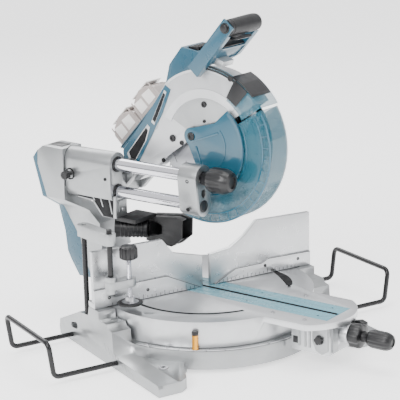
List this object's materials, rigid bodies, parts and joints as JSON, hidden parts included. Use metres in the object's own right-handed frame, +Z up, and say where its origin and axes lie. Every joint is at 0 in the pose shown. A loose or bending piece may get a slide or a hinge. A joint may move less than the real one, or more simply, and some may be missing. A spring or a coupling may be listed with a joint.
{
  "type": "sliding compound mitre saw",
  "caption": "Cordless sliding compound mitre saw with rotary table, tilting arm, sliding head, swinging blade guard, sliding fences, work vise and bent-wire work holders.",
  "frame": {"origin": "mitre axis at bench level, under the hub of the base casting", "axes": "+X to the operator's right along the fence, +Y to the rear, +Z up; the fence face is the plane y = 0"},
  "size_m": [0.817, 0.7391, 0.6683],
  "materials": {
    "cast_aluminium": "as-cast, fine blasted",
    "machined_aluminium": "machined",
    "chromed_steel": "ground and chromed",
    "steel": "bright",
    "black_coated_steel": "black oxide",
    "black_plastic": "fine texture",
    "rubber": "matte",
    "teal_plastic": "satin",
    "silver_paint": "silver, satin",
    "clear_teal": "clear tinted plastic",
    "kerf_board_blue": "smooth",
    "amber_brass": "lacquered",
    "battery_plastic": "milky"
  },
  "bodies": {
    "base": {"base_casting": "cast_aluminium", "mitre_scale_plate": "machined_aluminium", "pivot_bolt": "steel", "mitre_stop_pin": "amber_brass", "left_lower_fence": "cast_aluminium", "right_lower_fence": "cast_aluminium"},
    "left_fence": {"left_sub_fence": "machined_aluminium"},
    "right_fence": {"right_sub_fence": "machined_aluminium"},
    "left_clamp": {"left_fence_clamp": "black_plastic"},
    "right_clamp": {"right_fence_clamp": "black_plastic"},
    "left_holder_wire": {"left_holder": "black_coated_steel"},
    "right_holder_wire": {"right_holder": "black_coated_steel"},
    "left_holder_lock": {"left_holder_screw": "steel"},
    "right_holder_lock": {"right_holder_screw": "steel"},
    "vise_column": {"vise_post": "black_coated_steel", "vise_upper_arm": "cast_aluminium", "vise_drop_rod": "black_coated_steel"},
    "vise_slider": {"vise_lower_arm": "cast_aluminium"},
    "vise_foot": {"vise_pad": "steel"},
    "vise_screw": {"vise_spindle": "chromed_steel", "vise_knob": "black_plastic"},
    "turntable_body": {"turntable": "cast_aluminium", "left_kerf_board": "kerf_board_blue", "right_kerf_board": "kerf_board_blue"},
    "mitre_lock": {"mitre_grip": "black_plastic", "mitre_lock_rod": "steel"},
    "detent": {"detent_lever": "black_plastic"},
    "bevel_body": {"bevel_arm": "cast_aluminium", "arm_rear_cover": "teal_plastic", "upper_rail": "chromed_steel", "lower_rail": "chromed_steel", "rail_bracket": "machined_aluminium", "bevel_shaft": "steel"},
    "bevel_lock": {"bevel_lock_grip": "black_plastic", "bevel_lock_rod": "steel"},
    "carriage_body": {"carriage": "cast_aluminium", "chop_pivot_pin": "steel", "return_spring": "steel", "dust_nozzle": "rubber", "dust_pipe": "black_plastic"},
    "slide_lock": {"slide_lock_knob": "black_plastic"},
    "head": {"blade_case": "silver_paint", "case_front_shield": "clear_teal", "gear_housing": "cast_aluminium", "head_housing": "teal_plastic", "stator": "steel", "handle_frame": "teal_plastic", "handle_grip": "rubber"},
    "arbor": {"saw_blade": "steel", "spindle": "steel", "drive_gear": "steel", "outer_flange": "steel", "arbor_bolt": "steel"},
    "guard": {"lower_guard": "clear_teal", "centre_cover": "teal_plastic"},
    "rotor_body": {"rotor": "steel"},
    "trigger_body": {"trigger": "black_plastic"},
    "lock_off": {"lock_off_button": "black_plastic"},
    "lower_pack": {"lower_battery": "battery_plastic"},
    "upper_pack": {"upper_battery": "battery_plastic"}
  },
  "joints": [
    {"name": "left_fence_slide", "type": "slide", "parent": "base", "child": "left_fence", "axis": [-1, 0, 0], "range_m": [0, 0.03]},
    {"name": "right_fence_slide", "type": "slide", "parent": "base", "child": "right_fence", "axis": [1, 0, 0], "range_m": [0, 0.03]},
    {"name": "left_clamp_turn", "type": "hinge", "parent": "base", "child": "left_clamp", "pos_m": [-0.18, 0.02, 0.127], "axis": [0, 1, 0], "range_deg": [0, 60]},
    {"name": "right_clamp_turn", "type": "hinge", "parent": "base", "child": "right_clamp", "pos_m": [0.18, 0.02, 0.127], "axis": [0, -1, 0], "range_deg": [0, 60]},
    {"name": "left_holder_slide", "type": "slide", "parent": "base", "child": "left_holder_wire", "axis": [-1, 0, 0], "range_m": [-0.08, 0.025]},
    {"name": "right_holder_slide", "type": "slide", "parent": "base", "child": "right_holder_wire", "axis": [1, 0, 0], "range_m": [-0.08, 0.025]},
    {"name": "left_holder_screw_turn", "type": "hinge", "parent": "base", "child": "left_holder_lock", "pos_m": [-0.228, 0.11, 0.025], "axis": [0, 0, 1], "range_deg": [0, 180]},
    {"name": "right_holder_screw_turn", "type": "hinge", "parent": "base", "child": "right_holder_lock", "pos_m": [0.228, 0.11, 0.025], "axis": [0, 0, 1], "range_deg": [0, 180]},
    {"name": "vise_swivel", "type": "hinge", "parent": "base", "child": "vise_column", "pos_m": [-0.2525, 0.05, 0.08], "axis": [0, 0, -1], "range_deg": [-8, 75]},
    {"name": "vise_height", "type": "slide", "parent": "vise_column", "child": "vise_slider", "axis": [0, 0, 1], "range_m": [-0.011, 0.06]},
    {"name": "vise_clamp", "type": "slide", "parent": "vise_slider", "child": "vise_foot", "axis": [0, 0, -1], "range_m": [-0.02, 0.011]},
    {"name": "vise_screw_turn", "type": "hinge", "parent": "vise_foot", "child": "vise_screw", "pos_m": [-0.2, -0.038, 0.158], "axis": [0, 0, -1], "range_deg": [-1445, 795]},
    {"name": "mitre", "type": "hinge", "parent": "base", "child": "turntable_body", "pos_m": [0, 0, 0.05], "axis": [0, 0, -1], "range_deg": [-37.5, 82.5]},
    {"name": "mitre_lock_turn", "type": "hinge", "parent": "turntable_body", "child": "mitre_lock", "pos_m": [0.13317, -0.32151, 0.066], "axis": [0.3827, -0.9239, 0], "range_deg": [0, 180]},
    {"name": "detent_press", "type": "hinge", "parent": "turntable_body", "child": "detent", "pos_m": [0.1583, -0.29595, 0.072], "axis": [0.9239, 0.3827, 0], "range_deg": [0, 8], "stiffness_Nm_per_rad": 0.8, "springref_deg": -5.73},
    {"name": "bevel", "type": "hinge", "parent": "turntable_body", "child": "bevel_body", "pos_m": [-0.09567, 0.23097, 0.1], "axis": [0.3827, -0.9239, 0], "range_deg": [-30, 11]},
    {"name": "bevel_lock_turn", "type": "hinge", "parent": "bevel_body", "child": "bevel_lock", "pos_m": [-0.04901, -0.07767, 0.3545], "axis": [0.3827, -0.9239, 0], "range_deg": [0, 180]},
    {"name": "slide", "type": "slide", "parent": "bevel_body", "child": "carriage_body", "axis": [0.3827, -0.9239, 0], "range_m": [0, 0.16]},
    {"name": "slide_lock_turn", "type": "hinge", "parent": "carriage_body", "child": "slide_lock", "pos_m": [-0.20725, 0.2129, 0.3255], "axis": [-0.9239, -0.3827, 0], "range_deg": [0, 180]},
    {"name": "chop", "type": "hinge", "parent": "carriage_body", "child": "head", "pos_m": [-0.06314, 0.15244, 0.338], "axis": [0.9239, 0.3827, 0], "range_deg": [0, 55.5], "stiffness_Nm_per_rad": 20, "springref_deg": -91.67},
    {"name": "blade_spin", "type": "hinge", "parent": "head", "child": "arbor", "pos_m": [0.00918, -0.02217, 0.409], "axis": [0.9239, 0.3827, 0], "continuous": true},
    {"name": "guard_turn", "type": "hinge", "parent": "head", "child": "guard", "pos_m": [0.03505, -0.01146, 0.409], "axis": [0.9239, 0.3827, 0], "range_deg": [-131, 0]},
    {"name": "rotor_spin", "type": "hinge", "parent": "head", "child": "rotor_body", "pos_m": [0.06811, 0.04463, 0.44072], "axis": [0.9239, 0.3827, 0], "continuous": true},
    {"name": "trigger_pull", "type": "hinge", "parent": "head", "child": "trigger_body", "pos_m": [0.02855, -0.06892, 0.6346], "axis": [-0.9239, -0.3827, 0], "range_deg": [0, 6], "stiffness_Nm_per_rad": 0.6, "springref_deg": -6.88},
    {"name": "lock_off_press", "type": "slide", "parent": "head", "child": "lock_off", "axis": [0.9239, 0.3827, 0], "range_m": [0, 0.003], "stiffness_N_per_m": 400, "springref_m": -0.002},
    {"name": "lower_battery_slide", "type": "slide", "parent": "head", "child": "lower_pack", "axis": [0.9239, 0.3827, 0], "range_m": [0, 0.07]},
    {"name": "upper_battery_slide", "type": "slide", "parent": "head", "child": "upper_pack", "axis": [0.9239, 0.3827, 0], "range_m": [0, 0.07]}
  ],
  "couplings": [
    {"joint": "rotor_spin", "follows": "blade_spin", "ratio": -2.75},
    {"joint": "guard_turn", "follows": "chop", "ratio": -2.3423},
    {"joint": "vise_screw_turn", "follows": "vise_clamp", "rad_per_m": 1256.6}
  ]
}
